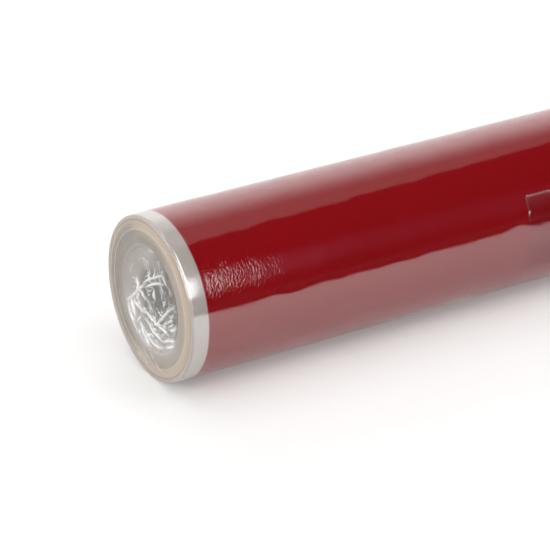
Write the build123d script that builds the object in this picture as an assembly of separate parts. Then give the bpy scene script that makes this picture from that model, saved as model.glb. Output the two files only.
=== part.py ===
"""Half-width studio backdrop roll: a board core, a wound paper sheet, clear film and closing tape.

The roll lies with its axis along X. The origin is on the axis, halfway along. Millimetres, +Z up.
Angles round the roll are measured from the top (+Z) towards the front (-Y).
"""
import os
from math import cos, degrees, radians, sin

from build123d import *

# Core: a spiral-wound board tube with a 2 inch bore
core_bore_r = 25.4
core_inner_ply_t = 0.6
core_body_t = 6.8
core_outer_ply_t = 0.6
core_length = 1348.0

# Sheet: 1.35 m wide, 0.15 mm thick, wound on the core
sheet_width = 1350.0
sheet_t = 0.15
starter_tape_t = 0.10
windings_r = 40.35
end_bevel_r = 38.50
end_bevel_x = 1.0
free_edge_angle = 262.0
free_edge_gap = 0.4

# Film: a few turns of thin clear film, taken together as one skin
film_t = 0.15
film_mouth_r = 25.8

# Tape: starter strips under the first turn and closing strips over the film
starter_width = 25.0
starter_arc = 60.0
starter_pitch = 560.0
closing_width = 48.0
closing_t = 0.05
closing_from = 58.0
closing_to = 118.0
closing_from_end = 189.5

# Radii and half lengths that follow
core_body_r = core_bore_r + core_inner_ply_t
core_outer_ply_r = core_body_r + core_body_t
core_r = core_outer_ply_r + core_outer_ply_t
first_turn_r = core_r + starter_tape_t
sheet_r = windings_r + sheet_t
film_r = sheet_r + film_t
half_core = core_length / 2
half_sheet = sheet_width / 2
half_shoulder = half_sheet - end_bevel_x
closing_x = half_sheet - closing_from_end - closing_width / 2


def turned(points):
    """A ring about the X axis, from the outline of its half section as (x, r) points."""
    section = make_face(Polyline([(x, 0, r) for x, r in points], close=True))
    return revolve(section, Axis.X, 360)


def tube(r_in, r_out, half_length):
    """A plain tube about the X axis, centred on the origin."""
    return turned(
        [(-half_length, r_in), (half_length, r_in), (half_length, r_out), (-half_length, r_out)]
    )


def on_circle(x, r, angle):
    """A point at radius r and at an angle from the top towards the front."""
    return (x, -r * sin(radians(angle)), r * cos(radians(angle)))


def degrees_of_arc(length, radius):
    """The angle of an arc of this length."""
    return degrees(length / radius)


def strip(r_in, thickness, x_mid, width, start, stop):
    """A curved strip of tape that lies on a cylinder of radius r_in."""
    r_out = r_in + thickness
    x = x_mid - width / 2
    middle = (start + stop) / 2
    outer = ThreePointArc(*[on_circle(x, r_out, angle) for angle in (start, middle, stop)])
    inner = ThreePointArc(*[on_circle(x, r_in, angle) for angle in (start, middle, stop)])
    sides = [Line(outer @ 0, inner @ 0), Line(outer @ 1, inner @ 1)]
    section = make_face([outer, inner, *sides])
    return extrude(section, amount=width, dir=(1, 0, 0))


def core_inner_ply():
    return tube(core_bore_r, core_body_r, half_core)


def core_body_plies():
    return tube(core_body_r, core_outer_ply_r, half_core)


def core_outer_ply():
    return tube(core_outer_ply_r, core_r, half_core)


def paper_windings():
    """The wound sheet without its outermost turn. Its ends fall away a little towards the outside."""
    return turned(
        [
            (-half_sheet, first_turn_r),
            (half_sheet, first_turn_r),
            (half_sheet, end_bevel_r),
            (half_shoulder, windings_r),
            (-half_shoulder, windings_r),
            (-half_sheet, end_bevel_r),
        ]
    )


def paper_last_turn():
    """The outermost turn, open by a narrow gap at the sheet's free edge."""
    start = free_edge_angle - 360 + degrees_of_arc(free_edge_gap, sheet_r)
    return strip(windings_r, sheet_t, 0, 2 * half_shoulder, start, free_edge_angle)


def film_end(side):
    """The film over one end: round the shoulder and across the windings and core to the bore's mouth."""
    outside = [
        (half_shoulder, sheet_r),
        (half_sheet, end_bevel_r),
        (half_sheet, first_turn_r),
        (half_core, first_turn_r),
        (half_core, film_mouth_r),
    ]
    inside = [
        (half_core + film_t, film_mouth_r),
        (half_core + film_t, first_turn_r - film_t),
        (half_sheet + film_t, first_turn_r - film_t),
        (half_sheet + film_t, end_bevel_r + film_t),
        (half_shoulder + film_t, film_r),
        (half_shoulder, film_r),
    ]
    return turned([(side * x, r) for x, r in outside + inside])


def starter_tape(x_mid):
    return strip(core_r, starter_tape_t, x_mid, starter_width, -starter_arc / 2, starter_arc / 2)


def closing_tape(x_mid):
    return strip(film_r, closing_t, x_mid, closing_width, closing_from, closing_to)


pieces = {
    "core_inner_ply": core_inner_ply(),
    "core_body_plies": core_body_plies(),
    "core_outer_ply": core_outer_ply(),
    "paper_windings": paper_windings(),
    "paper_last_turn": paper_last_turn(),
    "film_sleeve": tube(sheet_r, film_r, half_shoulder),
    "film_end_left": film_end(-1),
    "film_end_right": film_end(1),
}
for place, side in (("left", -1), ("middle", 0), ("right", 1)):
    pieces[f"starter_tape_{place}"] = starter_tape(side * starter_pitch)
    pieces[f"closing_tape_{place}"] = closing_tape(side * closing_x)

os.makedirs("parts", exist_ok=True)
for name, shape in pieces.items():
    export_step(shape, f"parts/{name}.step")
    size = shape.bounding_box().size
    print(f"{name}: {size.X:.2f} x {size.Y:.2f} x {size.Z:.2f} mm, {shape.volume / 1000:.2f} cm3")
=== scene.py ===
# %% [markdown]
# # A backdrop paper roll in clear film
#
# The real object is a board core with a 1.35 m wide paper sheet wound on it. The sheet is red on its face and
# bare along its margins. Clear film is wrapped tightly round the roll, gathered over each end and tucked into
# the core, and pieces of clear tape close it. The construction model gives every size. This file makes the
# surfaces that are seen: each is a formula on a grid, worked out with numpy.
# %% Load the frame
import math

import bpy
import numpy as np
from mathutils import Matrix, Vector


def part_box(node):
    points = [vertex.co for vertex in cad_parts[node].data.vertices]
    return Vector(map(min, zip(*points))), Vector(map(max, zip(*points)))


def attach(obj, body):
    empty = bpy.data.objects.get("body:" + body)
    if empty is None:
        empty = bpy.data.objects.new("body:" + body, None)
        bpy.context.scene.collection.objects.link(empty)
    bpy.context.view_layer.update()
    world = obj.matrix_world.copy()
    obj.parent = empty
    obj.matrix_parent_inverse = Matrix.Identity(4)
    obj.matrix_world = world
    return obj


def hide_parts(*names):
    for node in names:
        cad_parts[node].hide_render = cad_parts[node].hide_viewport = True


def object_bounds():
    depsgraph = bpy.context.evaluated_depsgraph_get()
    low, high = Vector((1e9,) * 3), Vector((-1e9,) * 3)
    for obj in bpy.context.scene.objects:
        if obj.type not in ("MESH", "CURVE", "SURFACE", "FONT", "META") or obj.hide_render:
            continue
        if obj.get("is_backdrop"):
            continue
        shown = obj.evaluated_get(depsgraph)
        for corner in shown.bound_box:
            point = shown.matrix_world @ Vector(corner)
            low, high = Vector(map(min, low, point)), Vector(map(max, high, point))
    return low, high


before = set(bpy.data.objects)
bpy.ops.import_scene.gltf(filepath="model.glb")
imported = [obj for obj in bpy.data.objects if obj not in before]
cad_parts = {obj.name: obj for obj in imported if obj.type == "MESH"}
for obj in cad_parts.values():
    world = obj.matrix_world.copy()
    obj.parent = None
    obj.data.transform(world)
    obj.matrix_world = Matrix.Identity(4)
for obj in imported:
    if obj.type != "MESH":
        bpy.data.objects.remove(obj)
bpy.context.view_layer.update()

print("nodes in the frame:", sorted(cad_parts))

# %% [markdown]
# ## Sizes
#
# All sizes but the margin's width come from the frame's own parts, so a change of the construction model
# carries through. The roll's axis is X and it passes through the origin. An angle round the roll is
# measured from the top towards the front, which is -Y.
# %% Sizes from the frame
MM = 0.001


def mesh_points(mesh):
    """All vertices of a mesh, as an array of shape (vertices, 3)."""
    points = np.empty(len(mesh.vertices) * 3)
    mesh.vertices.foreach_get("co", points)
    return points.reshape(-1, 3)


def radii(node):
    """The smallest and the largest distance from the roll's axis in a node's own mesh, in metres."""
    points = mesh_points(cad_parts[node].data)
    away = np.hypot(points[:, 1], points[:, 2])
    return float(away.min()), float(away.max())


bore_r, liner_r = radii("core_inner_ply")
board_r = radii("core_body_plies")[1]
core_r = radii("core_outer_ply")[1]
first_turn_r, windings_r = radii("paper_windings")
sheet_r = radii("paper_last_turn")[1]
film_r = radii("film_sleeve")[1]
half_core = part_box("core_body_plies")[1].x
half_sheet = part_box("paper_windings")[1].x
half_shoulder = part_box("film_sleeve")[1].x
half_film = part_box("film_end_right")[1].x
floor_z = -film_r
margin = 9.05 * MM


def in_mm(*lengths):
    """Lengths in metres as rounded millimetres, to print."""
    return [round(length / MM, 2) for length in lengths]


print("radii of bore, core, sheet and film in mm:", in_mm(bore_r, core_r, sheet_r, film_r))
print("half length of core, sheet and film in mm:", in_mm(half_core, half_sheet, half_film))

# %% [markdown]
# ## The camera
#
# A long lens close to the floor's level shows the left end and the first part of the length. Its aim
# point is on the roll's axis, a little way in from the left end, and its distance is given in roll radii.
# %% Camera
LENS_MM = 189.0
aim = Vector((-half_sheet + 1.698 * film_r, 0.0, -0.1234 * film_r))
seat = Vector((-half_sheet - 14.14 * film_r, -25.96 * film_r, 14.91 * film_r))


def towards(place, target):
    """The turn that points a camera or a lamp at a place to a target, level."""
    return (target - place).to_track_quat("-Z", "Y").to_euler()


lens = bpy.data.cameras.new("camera")
lens.lens = LENS_MM
lens.sensor_width = 36.0
lens.clip_start = 0.05
lens.clip_end = 50.0
camera = bpy.data.objects.new("camera", lens)
bpy.context.scene.collection.objects.link(camera)
camera.location = seat
camera.rotation_euler = towards(seat, aim)
bpy.context.scene.camera = camera
print("camera distance in m:", round((aim - seat).length, 3))

# %% [markdown]
# ## Grids that become meshes
#
# Every piece is a grid of points. It may close on itself in either direction, as a tube does round its
# axis. Its first or last row may be one point, as at the middle of a disc.
# %% From a grid to a mesh
def grid_piece(name, points, closed_rows=False, closed_columns=False, flip=False, crease=180.0, **marks):
    """A mesh from points of shape (rows, columns, 3).

    Each face joins a grid point with its next row and column. A row whose points all coincide is a pole,
    and its quads become triangles that share one point. Edges sharper than crease, in degrees, look
    sharp. A mark is one number for each point, kept on the mesh under the mark's name for its material to
    read.
    """
    rows, columns = points.shape[:2]
    index = np.arange(rows * columns).reshape(rows, columns)
    poles = [row for row in (0, rows - 1) if np.ptp(points[row], axis=0).max() < 1e-9]
    for row in poles:
        index[row] = index[row, 0]
    if closed_rows:
        index = np.vstack([index, index[:1]])
    if closed_columns:
        index = np.hstack([index, index[:, :1]])
    corners = [index[:-1, :-1], index[1:, :-1], index[1:, 1:], index[:-1, 1:]]
    quads = np.stack(corners, -1).reshape(-1, 4)
    if flip:
        quads = quads[:, ::-1]
    used, flat = np.unique(quads, return_inverse=True)
    quads = flat.reshape(-1, 4)
    faces = [list(dict.fromkeys(face)) for face in quads.tolist()] if poles else quads.tolist()
    mesh = bpy.data.meshes.new(name)
    mesh.from_pydata(points.reshape(-1, 3)[used].tolist(), [], faces)
    mesh.shade_smooth()
    if crease < 180.0:
        mesh.set_sharp_from_angle(angle=math.radians(crease))
    mesh.update()
    for mark, value in marks.items():
        kept = mesh.attributes.new(mark, "FLOAT", "POINT")
        kept.data.foreach_set("value", value.reshape(-1)[used].astype(np.float32))
    piece = bpy.data.objects.new(name, mesh)
    bpy.context.scene.collection.objects.link(piece)
    return piece


def on_roll(x, r, angle):
    """Points at x along the roll, radius r and an angle in radians: (x, -r sin angle, r cos angle)."""
    x, r, angle = np.broadcast_arrays(x, r, angle)
    return np.stack([x, -r * np.sin(angle), r * np.cos(angle)], -1)


def turned(name, outline, segments, crease=30.0):
    """A ring about the roll's axis, from a closed outline of (x, r) points."""
    x, r = (np.array(v)[:, None] for v in zip(*outline))
    angle = np.linspace(0, 2 * np.pi, segments, endpoint=False)[None, :]
    return grid_piece(name, on_roll(x, r, angle), True, True, crease=crease)


def is_outward(piece):
    """True if the signed volume is positive: the sum, over the triangles, of the corners' box products."""
    mesh = piece.data
    mesh.calc_loop_triangles()
    corners = np.empty(len(mesh.loop_triangles) * 3, dtype=np.int32)
    mesh.loop_triangles.foreach_get("vertices", corners)
    a, b, c = np.moveaxis(mesh_points(mesh)[corners.reshape(-1, 3)], 1, 0)
    return float(np.einsum("ij,ij->i", a, np.cross(b, c)).sum()) > 0


def finish_piece(piece, material, slot, *nodes, thickness=None):
    """Gives a piece its wall and material, hides the nodes it stands for, and rides it on the body; slot is
    unused.
    """
    if thickness:
        wall = piece.modifiers.new("wall", "SOLIDIFY")
        wall.thickness = thickness
        wall.offset = -1.0
        wall.use_even_offset = False
    piece.data.materials.append(material)
    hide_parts(*nodes)
    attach(piece, "root")
    print(f"{piece.name}: {len(piece.data.polygons)} faces, outward {is_outward(piece)}")


# %% [markdown]
# ## Shader maths in Python
#
# A value that changes over a surface is wrapped, so that a sum or a product of values reads as Python and
# adds the Math nodes by itself. One method of the recipe makes every other node.
# %% The socket wrapper and the recipe
class Flow:
    """A socket in a material's node tree. Arithmetic on it adds Math nodes."""

    def __init__(self, recipe, socket):
        self.recipe = recipe
        self.socket = socket

    def math(self, operation, *values):
        return self.recipe.node("ShaderNodeMath", {"operation": operation}, dict(enumerate(values)))

    def __add__(self, other):
        return self.math("ADD", self, other)

    def __sub__(self, other):
        return self.math("SUBTRACT", self, other)

    def __rsub__(self, other):
        return self.math("SUBTRACT", other, self)

    def __mul__(self, other):
        return self.math("MULTIPLY", self, other)

    def __truediv__(self, other):
        return self.math("DIVIDE", self, other)

    def __pow__(self, other):
        return self.math("POWER", self, other)

    def __abs__(self):
        return self.math("ABSOLUTE", self)

    def fract(self):
        return self.math("FRACT", self)

    __radd__ = __add__
    __rmul__ = __mul__


class Recipe:
    """A material, or a world, and the nodes in it."""

    def __init__(self, name, kept_in=bpy.data.materials):
        self.material = kept_in.new(name)
        self.material.use_nodes = True
        self.tree = self.material.node_tree
        self.tree.nodes.clear()

    def node(self, kind, settings=None, sockets=None, output=0):
        """Adds a node, sets it, fills its sockets with numbers or links, and wraps one of its outputs."""
        made = self.tree.nodes.new(kind)
        for key, value in (settings or {}).items():
            setattr(made, key, value)
        for key, value in (sockets or {}).items():
            if isinstance(value, Flow):
                self.tree.links.new(value.socket, made.inputs[key])
            else:
                made.inputs[key].default_value = value
        return Flow(self, made.outputs[output])

    def spot(self):
        """The object coordinates, in metres, with the origin on the roll's axis."""
        return self.node("ShaderNodeTexCoord", output="Object")

    def scaled(self, vector, scale):
        settings = {"operation": "MULTIPLY"}
        return self.node("ShaderNodeVectorMath", settings, {0: vector, 1: scale})

    def noise(self, vector, scale, detail=2.0, rough=0.5):
        sockets = {"Vector": vector, "Scale": scale, "Detail": detail, "Roughness": rough}
        return self.node("ShaderNodeTexNoise", None, sockets)

    def ramp(self, value, low, high, to_low=0.0, to_high=1.0):
        """A smooth step from low to high."""
        settings = {"interpolation_type": "SMOOTHSTEP"}
        sockets = {"Value": value, 1: low, 2: high, 3: to_low, 4: to_high}
        return self.node("ShaderNodeMapRange", settings, sockets)

    def mix(self, factor, one, two):
        """Colour one where factor is 0 and colour two where it is 1."""
        return self.node("ShaderNodeMix", {"data_type": "RGBA"}, {0: factor, 6: one, 7: two}, output=2)

    def parts(self, vector):
        """The three components of a vector."""
        split = self.tree.nodes.new("ShaderNodeSeparateXYZ")
        self.tree.links.new(vector.socket, split.inputs[0])
        return [Flow(self, split.outputs[i]) for i in range(3)]

    def along(self, spot):
        """Position along the roll."""
        return self.parts(spot)[0]

    def out(self, spot):
        """Distance from the roll's axis."""
        _, y, z = self.parts(spot)
        return (y * y + z * z) ** 0.5

    def around(self, spot):
        """Angle in radians from the top towards the front."""
        _, y, z = self.parts(spot)
        return z.math("ARCTAN2", y * -1.0, z)

    def mark(self, name):
        """A number that the mesh keeps for each of its points."""
        return self.node("ShaderNodeAttribute", {"attribute_name": name}, output="Fac")

    def bump(self, height, depth):
        """A bump of this depth in metres."""
        return self.node("ShaderNodeBump", None, {"Strength": 1.0, "Distance": depth, "Height": height})

    def either(self, factor, one, two):
        """Shader one where factor is 0 and shader two where it is 1."""
        return self.node("ShaderNodeMixShader", None, {0: factor, 1: one, 2: two})

    def diffuse(self, colour):
        return self.node("ShaderNodeBsdfDiffuse", None, {"Color": colour})

    def done(self, shader, output="ShaderNodeOutputMaterial"):
        """Links the shader to a new output and gives the finished material."""
        self.tree.links.new(shader.socket, self.tree.nodes.new(output).inputs["Surface"])
        return self.material

    def solid(self, **sockets):
        """A solid surface from the Principled shader's sockets, as the finished material."""
        sockets = {name.replace("_", " "): value for name, value in sockets.items()}
        return self.done(self.node("ShaderNodeBsdfPrincipled", None, sockets))


# %% [markdown]
# ## Clear film
#
# Thin clear film hardly bends light, so it needs no glass shader. It is see through, and it mirrors a
# share of the light that grows towards a grazing view, the same on both faces of the wall.
# %% Film and tape
# Colours of a sheet's veil and haze: white for creased film and painted highlights, grey for lapped film and
# painted shade.
LAPPED_AND_SHADE_GREY = (0.40, 0.36, 0.33, 1)
CREASE_AND_HIGHLIGHT_WHITE = (0.86, 0.85, 0.84, 1)


def clear_sheet(recipe, straight_on, grazing, tint, roughness, normal=None, veil=None, haze=None):
    """A see-through sheet. It mirrors the share straight_on + grazing x facing^5.

    A veil is the share of its face that scatters light, as creased film does where it turned white; along
    folds and tape edges it is also a painted highlight. A haze is the share that is greyish, where several
    layers lie on each other and hide what is under them; on the board at the back it is painted shade.
    """
    facing = recipe.node("ShaderNodeLayerWeight", None, {"Blend": 0.5}, output="Facing")
    share = facing ** 5.0 * grazing + straight_on
    through = recipe.node("ShaderNodeBsdfTransparent", None, {"Color": tint})
    gloss = {"Color": (1, 1, 1, 1), "Roughness": roughness}
    if normal:
        gloss["Normal"] = normal
    mirror = recipe.node("ShaderNodeBsdfGlossy", None, gloss)
    if haze:
        through = recipe.either(haze, through, recipe.diffuse(LAPPED_AND_SHADE_GREY))
    if veil:
        through = recipe.either(veil, through, recipe.diffuse(CREASE_AND_HIGHLIGHT_WHITE))
    return recipe.done(recipe.either(share, through, mirror))


def wrap_film():
    """Film on the roll's side: a fine grain, short wrinkles near the ends, more gloss over the margins.

    The wrinkles lie 0.9 to 1.22 radians in front of the top, and fade out 20 to 70 mm from the ends.
    """
    recipe = Recipe("clear film")
    spot = recipe.spot()
    from_end = half_shoulder - abs(recipe.along(spot))
    angle = recipe.around(spot)
    over_margin = recipe.ramp(from_end, margin - 1.5 * MM, margin, 1.0, 0.0)
    near_end = recipe.ramp(from_end, 20 * MM, 70 * MM, 1.0, 0.0)
    near_end = near_end * recipe.ramp(from_end, margin, margin + 3 * MM, 0.1, 1.0)
    in_front = recipe.ramp(angle, 0.62, 0.90, 0.25, 1.0) * recipe.ramp(angle, 1.22, 1.36, 1.0, 0.25)
    grain = recipe.noise(spot, 800.0, 2.0)
    wrinkles = recipe.noise(recipe.scaled(spot, (1.5, 1.0, 1.0)), 640.0, 1.0, 0.5)
    height = grain * 0.45 + wrinkles * near_end * in_front * 2.6
    return clear_sheet(
        recipe,
        straight_on=over_margin * 0.088 + 0.072,
        grazing=0.60,
        tint=(0.985, 0.985, 0.985, 1),
        roughness=over_margin * 0.09 + 0.09,
        normal=recipe.bump(height, 0.06 * MM),
        veil=recipe.mark("veil"),
    )


def gathered_film():
    """Film over an end: clear, white along folds, grey where lapped; partly painted highlights and shade."""
    recipe = Recipe("gathered film")
    spot = recipe.spot()
    patchy = recipe.noise(spot, 260.0, 3.0, 0.6)
    fine = recipe.noise(recipe.scaled(spot, (1.0, 1.0, 2.0)), 1500.0, 2.0)
    white = recipe.mark("veil") * (patchy * 0.9 + 0.55)
    return clear_sheet(
        recipe,
        straight_on=0.034,
        grazing=0.55,
        tint=(0.975, 0.96, 0.945, 1),
        roughness=0.06,
        normal=recipe.bump(fine, 0.03 * MM),
        veil=white.math("MINIMUM", white, 0.95),
        haze=recipe.mark("haze"),
    )


def tape_film():
    """Tape: a little gloss of its own, and white specks along its edges, which are painted glints."""
    recipe = Recipe("clear tape")
    speck = recipe.noise(recipe.spot(), 900.0, 2.0)
    return clear_sheet(
        recipe,
        straight_on=0.006,
        grazing=0.12,
        tint=(0.99, 0.965, 0.985, 1),
        roughness=0.12,
        veil=recipe.mark("veil") * (speck * 1.6 - 0.2),
    )


film_finish = wrap_film()
end_film_finish = gathered_film()
tape_finish = tape_film()
print("clear finishes:", [finish.name for finish in (film_finish, end_film_finish, tape_finish)])

# %% [markdown]
# ## The sheet
#
# The face is a deep red coat on a greyish-white base. The coat stops short of the edge, so each end of
# the roll has a bare margin. The coat's edge wavers a little and is paler where it thins out.
# %% Red face with bare margins
def coat(recipe, spot, x):
    """The red coat's colour, and where it lies: 1 on the coat and 0 on the bare margins."""
    waver = recipe.noise(spot, 60.0, 3.0) * (0.3 * MM) - 0.15 * MM
    inside = (half_sheet - margin) - abs(x) + waver
    thin = recipe.ramp(inside, 0.0, 1.2 * MM, 1.0, 0.0)
    cloud = recipe.noise(recipe.scaled(spot, (4.0, 12.0, 12.0)), 3.0, 4.0)
    red = recipe.mix(cloud, (0.232, 0.0019, 0.0043, 1), (0.26, 0.0029, 0.0062, 1))
    red = recipe.mix(thin * 0.35, red, (0.38, 0.022, 0.032, 1))
    return red, recipe.ramp(inside, -0.15 * MM, 0.15 * MM)


def red_face():
    """The last turn's finish: the red coat, and the bare, finely grained base along the margins."""
    recipe = Recipe("red face")
    spot = recipe.spot()
    red, coated = coat(recipe, spot, recipe.along(spot))
    grain = recipe.noise(spot, 2600.0, 2.0)
    bare = recipe.mix(grain, (0.47, 0.42, 0.385, 1), (0.54, 0.49, 0.455, 1))
    return recipe.solid(
        Base_Color=recipe.mix(coated, bare, red),
        Roughness=0.55 + grain * 0.1,
        Specular_IOR_Level=0.03,
        Normal=recipe.bump(grain, 0.02 * MM),
    )


red_finish = red_face()

# %% [markdown]
# The windings are seen at their ends, as a ring of paper edges. Each turn is a fine line. The colour
# drifts from turn to turn, because the edges took up dust and light unevenly, and the outermost turns,
# which the film presses in, are paler. A darker ring just inside them is painted shade in the film's
# groove. The windings' own face is red like the last turn's, and shows at the free edge.
# %% Edges of the wound sheet
def rings(recipe, radius, pitch, drift, inner):
    """Fine rings about the axis, 1 on a ring and 0 between.

    A ring lies where (radius + drift) / pitch is a whole number, and has faded out where that ratio is nearer
    than inner to the halfway point between two rings.
    """
    turn = ((radius + drift) / pitch).fract()
    return recipe.ramp(abs(turn - 0.5), inner, 0.5)


def edge_of_sheet():
    """The windings' finish: a line for each turn, a drift of colour, and the margin and coat on the side."""
    recipe = Recipe("paper edges")
    spot = recipe.spot()
    radius = recipe.out(spot)
    line = rings(recipe, radius, 0.15 * MM, recipe.noise(spot, 220.0, 3.0) * (0.2 * MM), 0.32)
    sockets = {"W": radius * 1400.0, "Scale": 1.0}
    drift = recipe.node("ShaderNodeTexNoise", {"noise_dimensions": "1D"}, sockets)
    fibre = recipe.noise(spot, 1800.0, 3.0)
    light = recipe.mix(drift, (0.585, 0.49, 0.39, 1), (0.725, 0.635, 0.535, 1))
    # Painted shade: a darker ring from 37.7 mm outwards, in the film's groove before the shoulder.
    light = recipe.mix(recipe.ramp(radius, 37.7 * MM, 38.1 * MM), light, (0.36, 0.29, 0.23, 1))
    light = recipe.mix(recipe.ramp(radius, 38.3 * MM, 38.8 * MM), light, (0.60, 0.555, 0.52, 1))
    edges = recipe.mix(line * 0.35 + fibre * 0.15, light, (0.36, 0.28, 0.20, 1))
    red, coated = coat(recipe, spot, recipe.along(spot))
    return recipe.solid(
        Base_Color=recipe.mix(coated, edges, red),
        Roughness=0.8,
        Specular_IOR_Level=0.2,
        Normal=recipe.bump(line + fibre * 0.5, -0.04 * MM),
    )


edge_finish = edge_of_sheet()

# %% [markdown]
# The core is grey-brown board, wound on a helix from many plies. Its cut end shows the plies as rings,
# and fibres that the saw raised.
# %% Board of the core
def core_board():
    """Board: a ring for each ply, raised fibres, and slow blotches of a paler brown."""
    recipe = Recipe("core board")
    spot = recipe.spot()
    line = rings(recipe, recipe.out(spot), 0.45 * MM, recipe.noise(spot, 120.0, 2.0) * (0.4 * MM), 0.36)
    fibre = recipe.noise(spot, 1500.0, 4.0, 0.6)
    blotch = recipe.noise(spot, 90.0, 3.0)
    colour = recipe.mix(blotch, (0.36, 0.31, 0.26, 1), (0.45, 0.395, 0.34, 1))
    colour = recipe.mix(line * 0.4 + fibre * 0.25, colour, (0.22, 0.185, 0.15, 1))
    return recipe.solid(
        Base_Color=colour,
        Roughness=0.85,
        Specular_IOR_Level=0.2,
        Normal=recipe.bump(line * 0.6 + fibre, -0.08 * MM),
    )


def core_liner():
    """Smooth paper with the ply's helical butt seam and faint fibres. The outer ply is paler.

    The seam lies where x / lead + angle / one turn is halfway between two whole numbers. The inner ply's
    very dark brown is painted shade of the deep bore.
    """
    recipe = Recipe("core liner")
    spot = recipe.spot()
    lead = 110 * MM
    place = (recipe.along(spot) / lead + recipe.around(spot) / (2 * math.pi)).fract()
    seam = recipe.ramp(abs(place - 0.5), 0.0, 0.006, 1.0, 0.0)
    fibre = recipe.noise(recipe.scaled(spot, (0.3, 1.0, 1.0)), 900.0, 3.0)
    # Painted shade: the inner ply is a very dark brown, for the shade deep in the bore.
    colour = recipe.mix(fibre, (0.10, 0.082, 0.06, 1), (0.14, 0.115, 0.085, 1))
    outer_ply = recipe.ramp(recipe.out(spot), 29 * MM, 31 * MM)
    colour = recipe.mix(outer_ply, colour, (0.46, 0.395, 0.325, 1))
    colour = recipe.mix(seam * 0.6, colour, (0.08, 0.065, 0.045, 1))
    return recipe.solid(
        Base_Color=colour, Roughness=0.7, Specular_IOR_Level=0.3, Normal=recipe.bump(seam, -0.15 * MM)
    )


def paper_tape():
    """Cream crepe tape: fine cross creases over a paper grain."""
    recipe = Recipe("paper tape")
    spot = recipe.spot()
    crease = recipe.noise(recipe.scaled(spot, (9.0, 1.0, 1.0)), 400.0, 3.0)
    colour = recipe.mix(crease, (0.62, 0.53, 0.36, 1), (0.74, 0.66, 0.48, 1))
    return recipe.solid(Base_Color=colour, Roughness=0.6, Normal=recipe.bump(crease, 0.05 * MM))


board_finish = core_board()
liner_finish = core_liner()
starter_finish = paper_tape()
finishes = (red_finish, edge_finish, board_finish, liner_finish, starter_finish)
print("finishes:", [finish.name for finish in finishes])

# %% [markdown]
# ## The core
#
# Three plies of the core are separate pieces: a smooth liner, the thick board, and a thin outer ply. Each
# is an outline carried round the axis. The outline of a cut end steps a little from ply to ply, as a saw
# leaves it.
# %% Core plies
def stepped_end(r_in, r_out, layers, half_length, step, rng):
    """The outline of a tube whose ends step from layer to layer, as closed (x, r) points.

    Each layer is flat from its own inner radius to its outer one. Its x is the half length less a random
    share of step, and the far end repeats the near end.
    """
    gap = 0.01 * MM
    edges = np.linspace(r_in, r_out, layers + 1)
    depth = half_length - step * rng.random(layers)
    near = [(x, r) for i, x in enumerate(depth) for r in (edges[i] + gap, edges[i + 1] - gap)]
    far = [(-x, r) for x, r in reversed(near)]
    return near + far


rng = np.random.default_rng(7)
PLIES = 15


def core_ply(name, node, r_in, r_out, layers, step, material, slot):
    """One ring of the core as a finished piece."""
    outline = stepped_end(r_in, r_out, layers, half_core, step, rng)
    finish_piece(turned(name, outline, 240), material, slot, node)


core_ply("core_liner_ply", "core_inner_ply", bore_r, liner_r, 1, 0.05 * MM, liner_finish, "core_liner")
core_ply("core_board", "core_body_plies", liner_r, board_r, PLIES, 0.12 * MM, board_finish, "core_board")
core_ply("core_outside_ply", "core_outer_ply", board_r, core_r, 1, 0.05 * MM, liner_finish, "core_liner")

# %% [markdown]
# ## The wound sheet
#
# The windings are 46 turns of the sheet. Their edges don't lie in one plane: the sheet walked a little as
# it was wound, so groups of turns stand out by tenths of a millimetre. The outside turns are pushed in,
# where the film pulls over the shoulder. The outermost turn is its own piece, a curved strip with a free
# edge.
# %% Windings and the last turn
sheet_t = sheet_r - windings_r
bevel_r = 38.5 * MM
TURNS = 46


def shoulder(from_end):
    """How much the roll's radius drops at a distance from its end: 0.25 mm x exp(-distance / 3.2 mm)."""
    return 0.25 * MM * np.exp(-from_end / (3.2 * MM))


# The film's profile over an end: radii, and how far in from the end's own plane it lies, in millimetres. It
# dips into the mouth, lies on the board, bulges over the paper, and has a groove before the shoulder.
profile = [
    (0, 4.2), (8, 4), (16, 3.4), (21, 2.7), (23.6, 1.9), (24.6, 1.4), (25.2, 1.02),
    (28, 0.94), (30, 0.92), (32, 0.85), (33.2, 0.62), (34.2, 0.3), (35, 0.12), (36, 0.1),
    (37, 0.28), (37.8, 0.56), (38.3, 0.64), (38.8, 0.55), (39.4, 0.4), (39.9, 0.4), (40.2, 0.64),
    (40.38, 1.15),
]


def sunk(radius):
    """Depth of the film behind the end's plane at a radius, in metres."""
    return np.interp(radius / MM, *zip(*profile)) * MM


def winding_outline(rng):
    """The windings' closed outline. Each turn is a flat step, and the walk is a sum of two slow waves.

    The steps follow the film's own profile 0.3 mm behind it, and outside bevel_r the radius shrinks with the
    shoulder.
    """
    edges = np.linspace(first_turn_r, windings_r, TURNS + 1)
    count = np.arange(TURNS)
    walk = 0.07 * np.sin(count * 0.41 + 0.6) + 0.05 * np.sin(count * 1.37) + 0.04 * rng.random(TURNS)
    middle = np.clip((edges[1:] + edges[:-1]) / 2, 34.4 * MM, 40.0 * MM)
    x = half_film - sunk(middle) - 0.30 * MM + walk * MM
    outside = np.clip((edges - bevel_r) / (windings_r - bevel_r), 0.0, 1.0)
    edges = edges - outside * shoulder(0.0)
    gap = 0.005 * MM
    near = [(min(x[i], half_sheet), r) for i in count for r in (edges[i] + gap, edges[i + 1] - gap)]
    from_end = np.array([1.5, 3.5, 7.0, 14.0, 30.0]) * MM
    half = near + [(half_shoulder - d, windings_r - shoulder(d)) for d in from_end]
    return half + [(-px, r) for px, r in reversed(half)]


windings = turned("paper_windings_edges", winding_outline(rng), 288)
finish_piece(windings, edge_finish, "bare_paper", "paper_windings")


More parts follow.
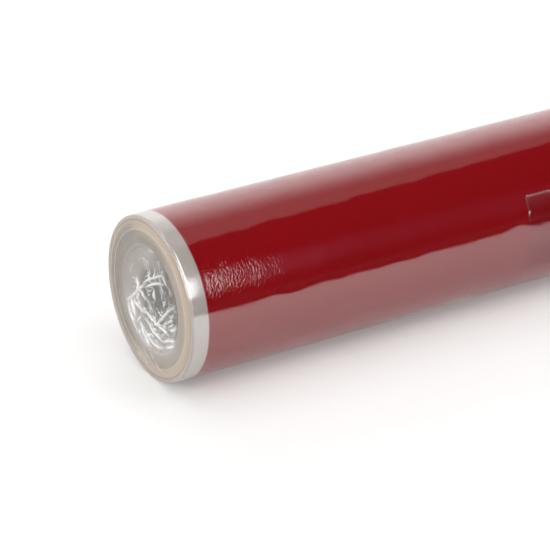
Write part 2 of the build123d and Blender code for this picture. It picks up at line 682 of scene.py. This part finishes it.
def spaced(half, near_step, near_length, mid_step, mid_length, far_step):
    """Positions from -half to half whose spacing grows in three zones away from both ends."""
    near = np.arange(0.0, near_length, near_step)
    middle = np.arange(near_length, mid_length, mid_step)
    rest = np.linspace(mid_length, half, round((half - mid_length) / far_step))
    from_end = np.concatenate([near, middle, rest])
    return np.concatenate([from_end - half, (half - from_end)[-2::-1]])


FREE_EDGE = math.radians(262.0)  # from the top towards the front, so it lies at the lower back
FREE_EDGE_GAP = 0.4 * MM


def last_turn():
    """A strip that goes once round the roll, short of closing by the gap at its free edge."""
    x = spaced(half_shoulder, 1.5 * MM, 20 * MM, 10 * MM, 60 * MM, 40 * MM)[:, None]
    start = FREE_EDGE - 2 * math.pi + FREE_EDGE_GAP / sheet_r
    angle = np.linspace(start, FREE_EDGE, 240)[None, :]
    radius = sheet_r - shoulder(half_shoulder - abs(x)) + 0 * angle
    return grid_piece("paper_last_turn_face", on_roll(x, radius, angle), flip=True)


finish_piece(last_turn(), red_finish, "red_paper", "paper_last_turn", thickness=sheet_t)

# %% [markdown]
# ## Folds in film
#
# A fold in thin film is a line where the surface turns sharply, with flanks that curve away from it. One
# formula makes it: the height falls off exponentially with the distance from a curve, so it has a cusp at
# the curve itself, and it fades towards the curve's ends. The curve is a Bezier curve through a few
# given points.
# %% A fold along a curve
def bezier(points, samples):
    """Points along the Bezier curve of n + 1 control points.

    Point k has the weight (n over k) x t^k x (1 - t)^(n - k), where t runs from 0 to 1.
    """
    n = len(points) - 1
    k = np.arange(n + 1)
    t = np.linspace(0, 1, samples)[:, None]
    weights = np.array([math.comb(n, i) for i in range(n + 1)]) * t**k * (1 - t) ** (n - k)
    return weights @ np.asarray(points, float)


def line_distance(u, v, points, reach, samples=28):
    """Distance of the places (u, v) from a curve, and a fade along it: the square root of a half sine wave.

    Places further than reach keep a distance of twice the reach and a fade of nothing.
    """
    curve = bezier(points, samples)
    low, high = curve.min(0) - reach, curve.max(0) + reach
    near = (u > low[0]) & (u < high[0]) & (v > low[1]) & (v < high[1])
    gaps = np.hypot(u[near][:, None] - curve[:, 0], v[near][:, None] - curve[:, 1])
    away = np.full(u.shape, 2.0 * reach)
    fade = np.zeros(u.shape)
    away[near] = gaps.min(1)
    along = gaps.argmin(1) / (samples - 1)
    fade[near] = np.sin(np.pi * np.clip(along, 0.04, 0.96)) ** 0.5
    return away, fade


def fold(u, v, points, height, width):
    """Height of a fold: height x exp(-distance / width), faded to nothing at both ends."""
    away, fade = line_distance(u, v, points, 6 * width)
    return height * np.exp(-away / width) * fade


def white_line(u, v, points, reach, share, width):
    """Veil along a curve: share x exp(-(distance / width)^2), faded to nothing at both ends."""
    away, fade = line_distance(u, v, points, reach)
    return share * np.exp(-((away / width) ** 2)) * fade


def below(value, limit, width):
    """1 where a value lies under a limit and 0 over it: 1 / (1 + exp((value - limit) / width))."""
    return 1 / (1 + np.exp((value - limit) / width))


# %% [markdown]
# ## The film round the roll
#
# The film is tight, so its surface is almost a true cylinder, and its gloss shows the smallest departure
# from one. Slow waves bend the edges of the reflections. Short pleats run in from each shoulder, where
# the film starts to gather, and a few creases lie near the floor, where it was lifted and set down. Long
# faint scratches run along it.
# %% Film sleeve
FILM_WALL = 0.05 * MM
WAVE_SLOPE = 0.0075


def film_waves(x, angle, rng):
    """A sum of waves along and round the roll: height x sin(along + turns x angle) x cos(0.7 turns x angle).

    All waves are equally steep, so a wave's height is the slope x its length / (2 pi). The lengths are in mm.
    """
    total = 0.0 * x * angle
    for length in (11, 14, 17, 23, 31, 44, 60):
        turns = rng.integers(1, 7)
        phase = rng.random(2) * 2 * np.pi
        height = WAVE_SLOPE * length * MM / (2 * np.pi)
        along = 2 * np.pi * x / (length * MM) + phase[0] + turns * angle
        total = total + height * np.sin(along) * np.cos(0.7 * turns * angle + phase[1])
    return total


def shoulder_pleats(from_end, angle, rng):
    """Short ridges at the roll's ends: a sum of waves round it, each faded by exp(-distance / a few mm)."""
    total = 0.0 * from_end * angle
    for turns in (19, 31, 47, 70):
        phase = rng.random() * 2 * np.pi
        fade = np.exp(-from_end / ((12 - turns * 0.1) * MM))
        total = total + 1.5 / turns * np.cos(turns * angle + phase + 1.2 * np.sin(3 * angle)) * fade
    return total * MM


# Places on the film, in millimetres: along the roll from its left end, then round it from top to front.
floor_creases = [
    [(118, 97.5), (123, 101), (127, 103.5)],
    [(128, 96), (133, 100), (137, 104)],
    [(137, 95.5), (142, 100), (147, 104)],
    [(150, 95), (156, 99.5), (160, 102)],
    [(158, 96.5), (162, 99.5), (168, 102.5)],
]
scratches = [
    [(112, 63.5), (118, 60.5), (126, 57.5)],
    [(11, 62), (17, 66), (26, 64)],
    [(40, 38), (90, 42.5), (150, 43)],
    [(60, 33), (110, 36.5), (160, 38)],
]

# Pleats on the bare margins: each one's place round the roll and its height.
margin_pleats = [
    (20.5, 0.05), (33.5, 0.09), (41.0, -0.05), (47.5, 0.06), (54.3, 0.22), (71.0, 0.04), (88.0, 0.05)
]

# Low swellings beside the tape, where it pulls the film: a place along, a place round and a height.
tape_pulls = [(180.0, 51.0, 0.34), (194.0, 64.0, 0.30), (206.0, 64.5, 0.26)]


def swelling(u, v, place, size):
    """A round hill of height 1 at a place: exp(-(u distance / u size)^2 - (v distance / v size)^2)."""
    return np.exp(-(((u - place[0]) / size[0]) ** 2) - ((v - place[1]) / size[1]) ** 2)


def sleeve():
    """The film sleeve as a grid of positions along the roll and angles round it, and its rise.

    The sheet under it stops its dips: a soft maximum, stop x log(exp(rise / stop) + exp(level)), levels
    them out.
    """
    rng = np.random.default_rng(21)
    x = spaced(half_shoulder, 1.0 * MM, 60 * MM, 2.5 * MM, 220 * MM, 12 * MM)[:, None]
    angle = np.linspace(0, 2 * np.pi, 144, endpoint=False)[None, :]
    from_end = half_shoulder - abs(x)
    rise = film_waves(x, angle, rng) + shoulder_pleats(from_end, angle, rng)
    along, around = np.broadcast_arrays((x + half_shoulder) / MM, angle * film_r / MM)
    veil = np.zeros_like(along)
    for line in floor_creases:
        rise = rise + fold(along, around, line, 0.35, 0.9) * MM
        # The white along the floor creases is painted glints.
        veil = np.maximum(veil, white_line(along, around, line, 4.0, 0.9, 0.7))
    for line in scratches:
        rise = rise + fold(along, around, line, 0.04, 0.8) * MM
    for arc, height in margin_pleats:
        rise = rise + height * MM * swelling(from_end / MM, around, (0.0, arc), (7.0, 0.9))
    for place, arc, height in tape_pulls:
        rise = rise + height * MM * swelling(along, around, (place, arc), (6.0, 5.0))
    dimples = zip(rng.uniform(9, 175, 22), rng.uniform(54, 59, 22), rng.uniform(0.02, 0.07, 22))
    for place, arc, height in dimples:
        rise = rise + height * MM * swelling(along, around, (place, arc), (3.2, 2.6))
    stop = 0.03 * MM
    rise = stop * np.logaddexp(rise / stop, -1.5)
    radius = film_r - 0.02 * MM - shoulder(from_end) + rise
    points = on_roll(x, radius, angle)
    return grid_piece("film_wrap", points, closed_columns=True, flip=True, veil=veil), rise


wrap, wrap_rise = sleeve()
print("film rises and dips in mm:", in_mm(wrap_rise.max(), wrap_rise.min()))
finish_piece(wrap, film_finish, "clear_film", "film_sleeve", thickness=FILM_WALL)

# %% [markdown]
# ## The film over the ends
#
# At each end the film turns over the shoulder, lies on the paper's edges and on the board, and is pushed
# into the mouth of the core in a crumple of sharp folds. One polar grid makes it: a smooth profile of the
# radius, plus pleats that run to the middle, plus folds over the mouth. The main folds follow listed curves,
# and many small ones are scattered at random. Each point also keeps a veil, for film that turned white and
# for painted highlights on the folds, and a haze, for lapped layers at the back and painted shade on the
# board there.
# %% Film ends
# Main folds: the points of each curve, in roll radii towards the front and up, then its height and its
# width in millimetres.
main_folds = [
    ([(-0.53, -0.24), (-0.50, -0.46), (-0.30, -0.58), (-0.04, -0.65)], 1.3, 1.0),
    ([(-0.30, -0.44), (-0.18, -0.54), (-0.02, -0.62)], 0.9, 0.9),
    ([(-0.26, -0.25), (-0.05, -0.27), (0.15, -0.31), (0.36, -0.33)], 1.2, 1.0),
    ([(-0.24, -0.34), (-0.06, -0.40), (0.10, -0.45), (0.24, -0.46)], 1.0, 0.9),
    ([(-0.18, -0.49), (-0.02, -0.58), (0.16, -0.58), (0.30, -0.50)], 0.9, 0.9),
    ([(0.08, -0.28), (0.24, -0.13), (0.36, 0.02), (0.58, 0.15)], 1.1, 0.9),
    ([(0.26, -0.44), (0.40, -0.36), (0.58, -0.29)], 0.9, 0.7),
    ([(0.34, -0.48), (0.46, -0.42), (0.58, -0.34)], 0.8, 0.7),
    ([(0.44, -0.24), (0.50, -0.18), (0.60, -0.12)], 0.8, 0.7),
    ([(0.30, -0.19), (0.38, -0.13), (0.44, -0.10)], 0.7, 0.6),
    ([(-0.26, 0.08), (-0.10, 0.22), (0.08, 0.30), (0.28, 0.42)], 1.1, 0.9),
    ([(-0.22, 0.04), (-0.06, 0.16), (0.10, 0.24), (0.22, 0.26)], 0.8, 0.8),
    ([(-0.02, 0.10), (-0.02, 0.04), (-0.02, -0.04)], 0.9, 0.7),
    ([(0.26, 0.42), (0.28, 0.36), (0.32, 0.28)], 0.8, 0.7),
    ([(-0.54, -0.24), (-0.42, -0.10), (-0.32, 0.00), (-0.20, 0.10)], 1.0, 0.9),
    ([(-0.40, 0.10), (-0.32, -0.02), (-0.24, -0.12)], 0.8, 0.8),
    ([(-0.42, 0.42), (-0.28, 0.58), (-0.08, 0.64), (0.10, 0.62)], -0.9, 1.2),
    ([(-0.04, 0.60), (0.04, 0.62), (0.12, 0.64)], 0.7, 0.6),
    ([(-0.44, -0.20), (-0.34, -0.26), (-0.22, -0.28)], 0.9, 0.8),
    ([(-0.50, -0.20), (-0.44, -0.30), (-0.40, -0.40)], 0.9, 0.7),
    ([(-0.36, -0.06), (-0.34, -0.16), (-0.36, -0.24)], 0.8, 0.6),
]

# Short creases on the paper ring, low down, where the film's lap was pressed over the shoulder.
ring_creases = [
    [(-0.24, -0.75), (-0.14, -0.81), (-0.02, -0.86)],
    [(-0.16, -0.72), (-0.06, -0.79), (0.08, -0.83)],
    [(-0.34, -0.70), (-0.27, -0.77), (-0.22, -0.82)],
    [(0.00, -0.66), (0.05, -0.71), (0.04, -0.77)],
    [(0.10, -0.76), (0.18, -0.80), (0.28, -0.82)],
]


def scattered_fold(rng):
    """A short fold at a random place in the bore: its curve, height, width, whiteness and crest width."""
    reach = bore_r * 0.88 * math.sqrt(rng.random())
    where = rng.random() * 2 * math.pi
    turn = rng.random() * math.pi
    half_length = (1.2 + 3.0 * rng.random()) * MM
    middle = np.array([reach * math.cos(where) + 0.03 * film_r, reach * math.sin(where)])
    step = half_length * np.array([math.cos(turn), math.sin(turn)])
    bend = rng.normal(size=2) * 0.4 * half_length
    height = rng.choice([-1.0, 1.0]) * (0.3 + 0.7 * rng.random()) * MM
    width = (0.35 + 0.45 * rng.random()) * MM
    curve = np.array([middle - step, middle + bend, middle + step])
    return curve, height, width, 0.8 * rng.random() ** 1.5, (0.22 + 0.30 * rng.random()) * MM


def crumple(front, up, folds, rng, scattered):
    """Height of the crumple in metres at places on the end, and its veil.

    The height is the sum of all folds. The veil is the greatest, over all folds, of a narrow white crest
    and a wide faint one. A main fold that sinks in has none.
    """
    lines = []
    for points, height, width in folds:
        white = 0.95 if height > 0 else 0.0
        crest_width = (0.42 + 0.28 * rng.random()) * MM
        lines.append((np.array(points) * film_r, 1.8 * height * MM, 0.8 * width * MM, white, crest_width))
    lines.extend(scattered_fold(rng) for _ in range(scattered))
    total = np.zeros_like(front)
    veil = np.zeros_like(front)
    for points, height, width, white, crest_width in lines:
        away, fade = line_distance(front, up, points, 6 * MM)
        total = total + height * np.exp(-away / width) * fade
        crest = np.exp(-((away / crest_width) ** 2)) + 0.20 * np.exp(-away / (1.4 * MM))
        veil = np.maximum(veil, white * crest * fade)
    return total, veil


# %% Haze, veil and pleats of an end
def lapped_and_shade_haze(radius, front, up):
    """Greyness: lapped layers at the bore's upper back, and weaker painted shade on the board at the back."""
    upper_back = below(0.85 * front - 0.5 * up, -0.12 * film_r, 3.5 * MM)
    back = below(front, -0.40 * film_r, 3.0 * MM)
    over_bore = np.exp(-(((radius - 20.5 * MM) / (8.0 * MM)) ** 4))
    # The grey over the board at the back is painted shade.
    over_board = np.exp(-(((radius - 33.0 * MM) / (4.2 * MM)) ** 4))
    return np.maximum(0.86 * upper_back * over_bore, 0.42 * back * over_board)


def end_veil(radius, front, up, white_folds, pleats):
    """Whiteness over an end: its folds, partly painted highlights, a share by radius, more low down, and
    pleat crests.

    Over the mouth, folds are white up to the bore's edge, but hardly so at the upper front, where their white
    is taken away as painted shade along the bore's rim.
    """
    over_mouth = below(radius, 27.2 * MM, 0.4 * MM)
    shaded = below(-(front + up) / math.sqrt(2), -0.47 * film_r, 1.2 * MM)
    folds = white_folds * np.where(radius < 28 * MM, over_mouth * (1 - 0.85 * shaded), 1.0)
    low_side = below(up + 0.5 * abs(front + 0.1 * film_r), 0.0, 5.0 * MM)
    layers = np.interp(radius / MM, [0, 12, 20, 25, 29, 33], [0.08, 0.12, 0.22, 0.30, 0.12, 0.05])
    return np.clip(folds + layers * (0.10 + 0.90 * low_side) + 0.10 * np.clip(pleats, 0, 1), 0.02, 0.95)


def end_pleats(radius, angle, rng):
    """A sum of waves round the end, cos(turns x angle + phase) / turns, that fades towards the middle."""
    pleats = 0.0 * radius * angle
    for turns in (7, 12, 19, 28, 41):
        phase = rng.random() * 2 * np.pi
        pleats = pleats + np.cos(turns * angle + phase + np.sin(2 * angle + phase)) / turns
    return pleats, np.interp(radius / MM, [0, 10, 24, 30, 36, 40.3], [0.0, 0.8, 1.0, 0.35, 0.25, 0.5])


# %% The film over an end
# The grid's rings, densest over the mouth: from one radius to another in millimetres, and how many.
rim_r = film_r - 0.02 * MM - shoulder(0.0)
end_rings = [(0, 25.8, 96), (26.1, 33.0, 17), (33.3, 38.4, 15), (38.6, rim_r / MM, 15)]
END_COLUMNS = 345
SCATTERED = 120


def film_end(side, folds, seed):
    """The film over one end, on a grid of radii and angles, with its rise outwards from the end's plane.

    The board stops the film from the bore's edge outwards, so the rise is clipped there.
    """
    rng = np.random.default_rng(seed)
    radius = np.concatenate([np.linspace(*ring) for ring in end_rings])[:, None] * MM
    angle = np.linspace(0, 2 * np.pi, END_COLUMNS, endpoint=False)[None, :]
    front = radius * np.sin(angle)
    up = radius * np.cos(angle)
    crumpled, white_folds = crumple(front, up, folds, rng, SCATTERED)
    pleats, spread = end_pleats(radius, angle, rng)
    rise = crumpled * below(radius, 25.0 * MM, 0.5 * MM) + 0.35 * MM * pleats * spread - sunk(radius)
    for points in ring_creases:
        points = np.array(points) * [-side, 1.0] * film_r
        rise = rise + fold(front, up, points, 0.35 * MM, 0.7 * MM)
        white_folds = np.maximum(white_folds, white_line(front, up, points, 3 * MM, 0.32, 0.5 * MM))
    board_stop = np.where(radius > bore_r - 0.2 * MM, half_core - half_film + 0.03 * MM, -1.0)
    rise = np.clip(rise, board_stop, -0.02 * MM)
    return grid_piece(
        "film_gather_left" if side < 0 else "film_gather_right",
        on_roll(side * (half_film + rise), radius, angle),
        closed_columns=True,
        flip=side < 0,
        veil=end_veil(radius, front, up, white_folds, pleats * spread),
        haze=lapped_and_shade_haze(radius, front, up),
    )


mirrored = [([(-front, up) for front, up in points], height, width) for points, height, width in main_folds]
left_end = film_end(-1, main_folds, 3)
right_end = film_end(1, mirrored, 11)
finish_piece(left_end, end_film_finish, "clear_film", "film_end_left", thickness=FILM_WALL)
finish_piece(right_end, end_film_finish, "clear_film", "film_end_right", thickness=FILM_WALL)

# %% [markdown]
# ## Tape
#
# Three pieces of clear tape close the film. A dispenser's teeth cut each one, so its upper and lower
# edges are zigzags. The starter tapes under the first turn are hidden, and their own bodies are kept,
# with a paper finish.
# %% Closing and starter tapes
TOOTH = 2.4 * MM
TOOTH_DEPTH = 1.1 * MM
TAPE_START = math.radians(58.0)
TAPE_STOP = math.radians(118.0)
TAPE_LENGTH = 42.0  # millimetres, from the upper edge to the lower

# A painted glint near the left side: how far in from it, in metres, and how far down, in millimetres.
PAINTED_GLINT = (0.4 * MM, 0.2 * TAPE_LENGTH)


def closing_tape(node):
    """A strip on the film between two zigzag edges: the angle is stretched so that it ends on the teeth.

    A tooth is a triangle wave along the edge. The veil is painted glints. It fades away from the upper edge,
    exp(-down / 0.3 mm), lies faintly along the sides, and has one bright spot near the left side.
    """
    low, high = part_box(node)
    x = np.linspace(low.x, high.x, 181)[:, None]
    across = x - low.x
    tooth = abs((across / TOOTH) % 1.0 - 0.5) * 2 * TOOTH_DEPTH / film_r
    share = np.concatenate([np.linspace(0, 0.08, 9), np.linspace(0.1, 0.9, 33), np.linspace(0.92, 1, 9)])
    share = share[None, :]
    down = share * TAPE_LENGTH
    angle = (TAPE_START + tooth) + share * (TAPE_STOP - TAPE_START - 2 * tooth)
    lift = 0.06 * MM * np.exp(-share * 18) + 0.03 * MM * np.exp(-(1 - share) * 18)
    wave = 0.02 * MM * np.sin(across / (7 * MM) + 3 * share) * np.sin(5 * share + 1.0)
    radius = film_r + 0.08 * MM + lift + wave
    from_side = np.minimum(across, high.x - x)
    ribs = 0.65 + 0.35 * np.sin(across / MM * 4.1 + 2.0 * np.sin(share * 9))
    veil = 0.32 * np.exp(-down / 0.3) + 0.025 * ribs * np.exp(-down / 6.0)
    veil = (veil + 0.06 * np.exp(-from_side / (0.4 * MM))) * np.exp(-share * 2.2)
    from_glint = np.hypot(across - PAINTED_GLINT[0], (down - PAINTED_GLINT[1]) * MM) / (0.5 * MM)
    veil = veil + 0.9 * np.exp(-(from_glint**2))
    return grid_piece(node + "_strip", on_roll(x, radius, angle), flip=True, veil=veil)


for place in ("left", "middle", "right"):
    node = f"closing_tape_{place}"
    finish_piece(closing_tape(node), tape_finish, "clear_tape", node, thickness=0.04 * MM)
    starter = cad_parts[f"starter_tape_{place}"]
    starter.data.materials.clear()
    starter.data.materials.append(starter_finish)

# %% [markdown]
# ## The studio
#
# A glossy film shows what stands round it, so the reflections are set apart from the light itself. The
# floor is pale and matt, and glows a little, more so far out, which keeps it white there. A black card on
# it in front, which only reflections see, keeps the floor's mirror image on the roll short.
# %% Floor and card
NEAR_GLOW = (0.30, 0.2955, 0.29, 1)
FAR_GLOW = (1.0, 0.995, 0.99, 1)


def plain_finish(name, colour, roughness, glow=0.0):
    """A matt finish with a faint grain. It may glow, about three times as much far out as near the roll."""
    recipe = Recipe(name)
    spot = recipe.spot()
    grain = recipe.noise(spot, 40.0, 2.0)
    shade = recipe.mix(grain, colour, tuple(c * 0.985 for c in colour[:3]) + (1,))
    x, y, _ = recipe.parts(spot)
    far = recipe.ramp((x * x + y * y) ** 0.5, 1.1, 2.4)
    return recipe.solid(
        Base_Color=shade,
        Roughness=roughness,
        Specular_IOR_Level=0.0,
        Emission_Color=recipe.mix(far, NEAR_GLOW, FAR_GLOW),
        Emission_Strength=glow,
    )


def stage_sheet(name, points, material):
    """A grid of points as a part of the studio."""
    sheet = grid_piece(name, points)
    sheet.data.materials.append(material)
    sheet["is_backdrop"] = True
    return sheet


def flat(x_range, y_range, z):
    """A flat grid at height z."""
    x = np.linspace(*x_range, 9)[:, None]
    y = np.linspace(*y_range, 9)[None, :]
    return np.stack(np.broadcast_arrays(x, y, z), -1)


def for_reflections_only(thing):
    """Hides a thing from everything but mirrored rays."""
    for ray in ("camera", "diffuse", "transmission", "volume_scatter", "shadow"):
        setattr(thing, "visible_" + ray, False)


FLOOR_HALF = 6.0
CARD_HALF = 3.0
CARD_NEAR = 0.30
floor_points = flat((-FLOOR_HALF, FLOOR_HALF), (-FLOOR_HALF, FLOOR_HALF), floor_z - 0.05 * MM)
stage_sheet("floor", floor_points, plain_finish("floor", (0.68, 0.675, 0.67, 1), 0.9, 0.69))
card_points = flat((-CARD_HALF, CARD_HALF), (-CARD_HALF, -CARD_NEAR), floor_z + 1.0 * MM)
card_finish = plain_finish("card", (0.012, 0.011, 0.011, 1), 1.0)
for_reflections_only(stage_sheet("dark_card", card_points, card_finish))
print("floor at", in_mm(floor_z), "mm, card from", in_mm(CARD_NEAR), "mm in front of the axis")

# %% [markdown]
# ## The tent
#
# A tent, which only reflections see, arches over the roll. It is bright at the back, fades towards the top
# and ends there in a straight edge, a little askew. In front it is dark but for a soft violet glow, a hot
# patch towards the left, and a bright side beyond the left end.
# %% Tent
TENT_R = 1.5


def tent_paint():
    """Brightness of the tent. Its angle is 0 at the back's floor, 90 overhead and 180 at the front's floor.

    Each patch is a product of ramps over the angle and over x.
    """
    recipe = Recipe("tent")
    x, y, z = recipe.parts(recipe.spot())
    angle = 90.0 - y.math("ARCTAN2", y, z) * (180 / math.pi)
    back = recipe.ramp(angle, 30.0, 70.0, 1.0, 0.0) * recipe.ramp(angle, 2.0, 20.0, 0.85, 0.97)
    overhead = recipe.ramp(angle + (x - 0.035) * 27.0, 91.5, 92.9, 0.30, 0.012)
    band = recipe.ramp(angle, 132.0, 146.0) * recipe.ramp(angle, 154.0, 170.0, 1.0, 0.0)
    glow = band * recipe.ramp(x, 0.06, 0.30, 1.0, 0.3)
    hot = band * recipe.ramp(x, -0.10, 0.11, 1.0, 0.0) ** 2.0 * 2.6
    side = recipe.ramp(angle, 92.0, 112.0) * recipe.ramp(angle, 158.0, 172.0, 1.0, 0.0)
    white = back + overhead + hot + side * recipe.ramp(x, -0.60, -0.20, 4.5, 0.0)
    channels = {0: white + glow * 0.10, 1: white + glow * 0.07, 2: white + glow * 0.13}
    colour = recipe.node("ShaderNodeCombineColor", None, channels)
    return recipe.done(recipe.node("ShaderNodeEmission", None, {"Color": colour, "Strength": 1.0}))


# Half a round tunnel about the roll's axis: (x, r cos angle, r sin angle).
x = np.linspace(-3.4, 5.0, 9)[:, None]
angle = np.radians(np.linspace(-3.0, 183.0, 94))[None, :]
tent_points = np.stack(np.broadcast_arrays(x, TENT_R * np.cos(angle), TENT_R * np.sin(angle)), -1)
tent_piece = stage_sheet("tent", tent_points, tent_paint())
tent_piece.data.materials[0].cycles.emission_sampling = "NONE"
for_reflections_only(tent_piece)
print("tent radius in m:", TENT_R)

# %% [markdown]
# ## Lamps and air
#
# Four small lamps, which only reflections see, put sparks on the folds of the left end. Four large soft
# lamps, which reflections don't see, and even air round it all light the matt surfaces and the floor.
# %% Lamps
def panel(name, middle, target, size, radiance, mirrored_only):
    """A lamp that only reflections or only matt surfaces see. Its power is brightness x area x pi."""
    data = bpy.data.lights.new(name, "AREA")
    data.shape = "RECTANGLE"
    data.size, data.size_y = size
    data.energy = radiance * size[0] * size[1] * math.pi
    lamp = bpy.data.objects.new(name, data)
    bpy.context.scene.collection.objects.link(lamp)
    lamp.location = middle
    lamp.rotation_euler = towards(middle, target)
    lamp.visible_camera = False
    lamp.visible_glossy = mirrored_only
    lamp.visible_diffuse = not mirrored_only


# Each lamp: its name, its place and the point it faces from the middle of the left end, its size, its
# brightness.
sparks = [
    ("left spark", (-1.5, -0.05, 0.42), (0, 0, 0), (0.30, 0.30), 20.0),
    ("low left spark", (-1.6, -0.25, 0.17), (0, 0, 0), (0.9, 0.34), 5.0),
    ("upper left spark", (-1.15, 0.6, 0.72), (0, 0, 0), (0.45, 0.30), 16.0),
    ("low rear spark", (-1.0, 1.2, 0.12), (0, 0, 0), (0.5, 0.14), 14.0),
]
keys = [
    ("top key", (0.1, 0.1, 1.9), (0.1, 0, 0), (1.8, 1.8), 1.25),
    ("front key", (0.6, -1.1, 1.8), (0, 0, 0), (1.2, 1.2), 2.45),
    ("left key", (-1.5, -1.0, 1.1), (0, 0, 0), (1.2, 1.2), 3.6),
    ("back key", (1.0, 1.4, 0.9), (0.4, 0, 0), (2.4, 1.0), 1.9),
]
end = Vector((-half_sheet, 0, 0))
for lamps, mirrored_only in ((sparks, True), (keys, False)):
    for name, place, faced, size, radiance in lamps:
        panel(name, end + Vector(place), end + Vector(faced), size, radiance, mirrored_only)
print("lamps:", [name for name, *_ in sparks + keys])


# %% Air
AIR = 0.576
AIR_MIRRORED = 0.012


def studio_air():
    """Even light from all round that the film hardly mirrors, and a white ground behind the view.

    The strength is AIR, or AIR_MIRRORED for a mirrored ray, and at least 1 for the camera's own.
    """
    recipe = Recipe("studio", bpy.data.worlds)
    mirrored = recipe.node("ShaderNodeLightPath", output="Is Glossy Ray")
    seen = recipe.node("ShaderNodeLightPath", output="Is Camera Ray")
    strength = mirrored * (AIR_MIRRORED - AIR) + AIR
    strength = strength.math("MAXIMUM", strength, seen)
    air = recipe.node("ShaderNodeBackground", None, {"Color": (1, 1, 1, 1), "Strength": strength})
    return recipe.done(air, "ShaderNodeOutputWorld")


bpy.context.scene.world = studio_air()
bpy.context.scene.view_settings.view_transform = "Standard"
bpy.context.scene.view_settings.look = "None"

# %% [markdown]
# ## Sizes
#
# The box of everything visible is printed.
# %% Size of the visible box
low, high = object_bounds()
print("visual box in mm:", in_mm(*low, *high))
